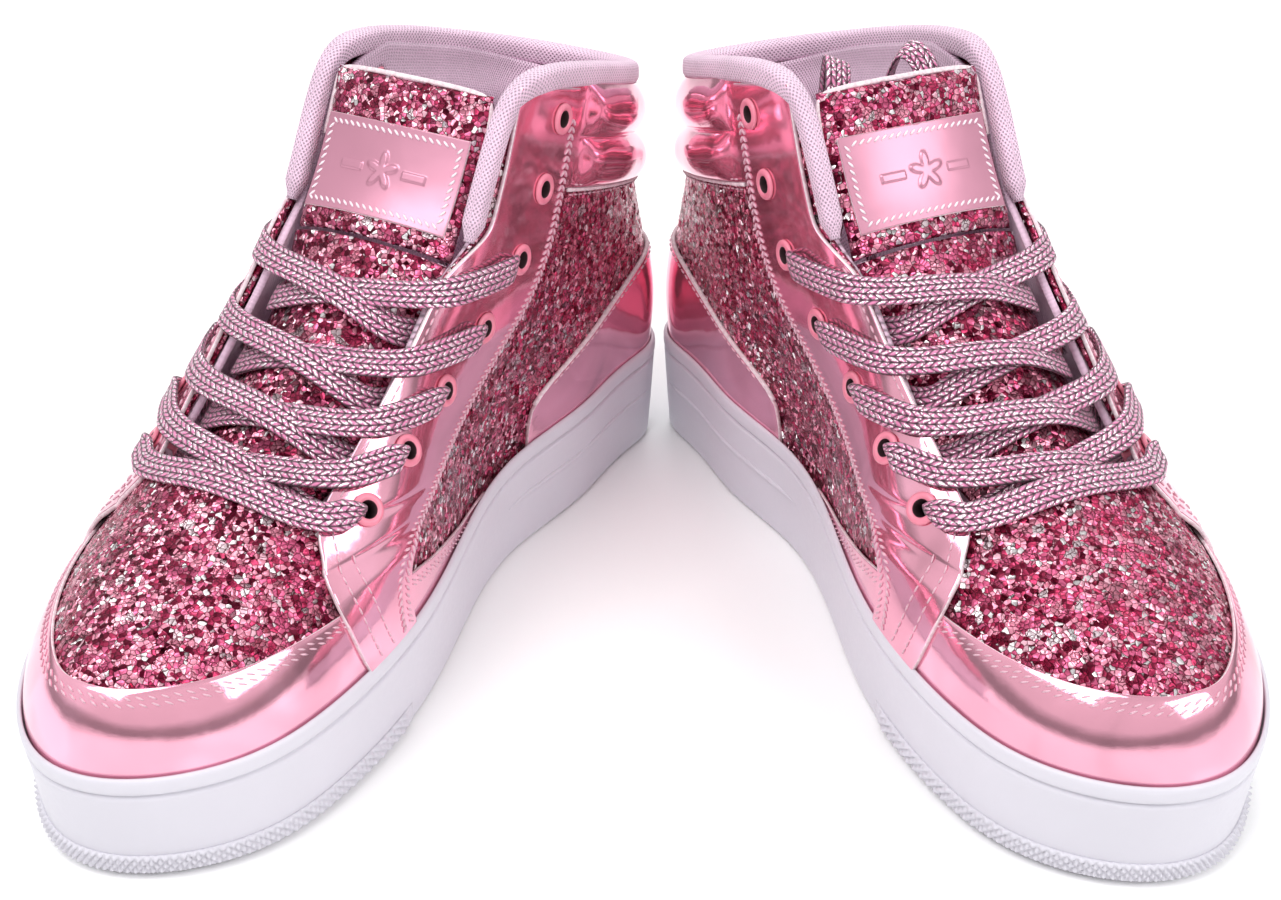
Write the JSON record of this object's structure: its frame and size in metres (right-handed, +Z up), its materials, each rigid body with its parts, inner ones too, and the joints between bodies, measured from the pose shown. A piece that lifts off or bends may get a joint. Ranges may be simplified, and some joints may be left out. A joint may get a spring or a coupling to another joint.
{
  "type": "cheer shoes",
  "caption": "Pair of platform high-top lace-up cheer shoes with glitter panels, metallic overlays, padded mesh collars, a tilting tongue top on each and flat braided laces.",
  "frame": {"origin": "centre of the footprint of the pair on the floor", "axes": "+Z up; +X from the wearer's right shoe to the left shoe; +Y from the toes to the heels, so both shoes point towards -Y and outwards"},
  "size_m": [0.3372, 0.2688, 0.1594],
  "materials": {
    "sole_rubber": "matt moulded",
    "foam": "matt foam",
    "board": "matt",
    "metallic": "mirror-like metallic film on synthetic leather",
    "glitter": "coarse glitter flakes bonded on cloth",
    "mesh": "knitted mesh",
    "label": "satin embossed",
    "eyelet": "semi-gloss coating",
    "lace": "flat braid with bright metallic thread",
    "aglet": "clear gloss"
  },
  "bodies": {
    "right_shoe": {"right_outsole": "sole_rubber", "right_foam_core": "foam", "right_insole_board": "board", "right_footbed": "mesh", "right_toe_mudguard": "metallic", "right_vamp": "glitter", "right_inner_quarter": "glitter", "right_outer_quarter": "glitter", "right_inner_eyestay": "metallic", "right_outer_eyestay": "metallic", "right_heel_foxing": "metallic", "right_collar_band": "metallic", "right_collar_roll": "mesh", "right_quarter_lining": "mesh", "right_vamp_lining": "mesh", "right_heel_counter": "board", "right_toe_puff": "board", "right_tongue": "glitter", "right_inner_eyelets": "eyelet", "right_outer_eyelets": "eyelet", "right_lace": "lace", "right_inner_lace_tail": "lace", "right_outer_lace_tail": "lace", "right_inner_aglet": "aglet", "right_outer_aglet": "aglet"},
    "right_tongue_top": {"right_tongue_flap": "glitter", "right_tongue_label": "label"},
    "left_shoe": {"left_outsole": "sole_rubber", "left_foam_core": "foam", "left_insole_board": "board", "left_footbed": "mesh", "left_toe_mudguard": "metallic", "left_vamp": "glitter", "left_inner_quarter": "glitter", "left_outer_quarter": "glitter", "left_inner_eyestay": "metallic", "left_outer_eyestay": "metallic", "left_heel_foxing": "metallic", "left_collar_band": "metallic", "left_collar_roll": "mesh", "left_quarter_lining": "mesh", "left_vamp_lining": "mesh", "left_heel_counter": "board", "left_toe_puff": "board", "left_tongue": "glitter", "left_inner_eyelets": "eyelet", "left_outer_eyelets": "eyelet", "left_lace": "lace", "left_inner_lace_tail": "lace", "left_outer_lace_tail": "lace", "left_inner_aglet": "aglet", "left_outer_aglet": "aglet"},
    "left_tongue_top": {"left_tongue_flap": "glitter", "left_tongue_label": "label"}
  },
  "joints": [
    {"name": "shoes_apart", "type": "slide", "parent": "right_shoe", "child": "left_shoe", "axis": [1, 0, 0], "range_m": [0, 0.15]},
    {"name": "left_tongue_tilt", "type": "hinge", "parent": "left_shoe", "child": "left_tongue_top", "pos_m": [0.08635, 0.00734, 0.1165], "axis": [0.9105, 0.4136, 0], "range_deg": [0, 35]},
    {"name": "right_tongue_tilt", "type": "hinge", "parent": "right_shoe", "child": "right_tongue_top", "pos_m": [-0.08075, 0.00732, 0.1165], "axis": [0.8806, -0.4738, 0], "range_deg": [0, 35]}
  ]
}
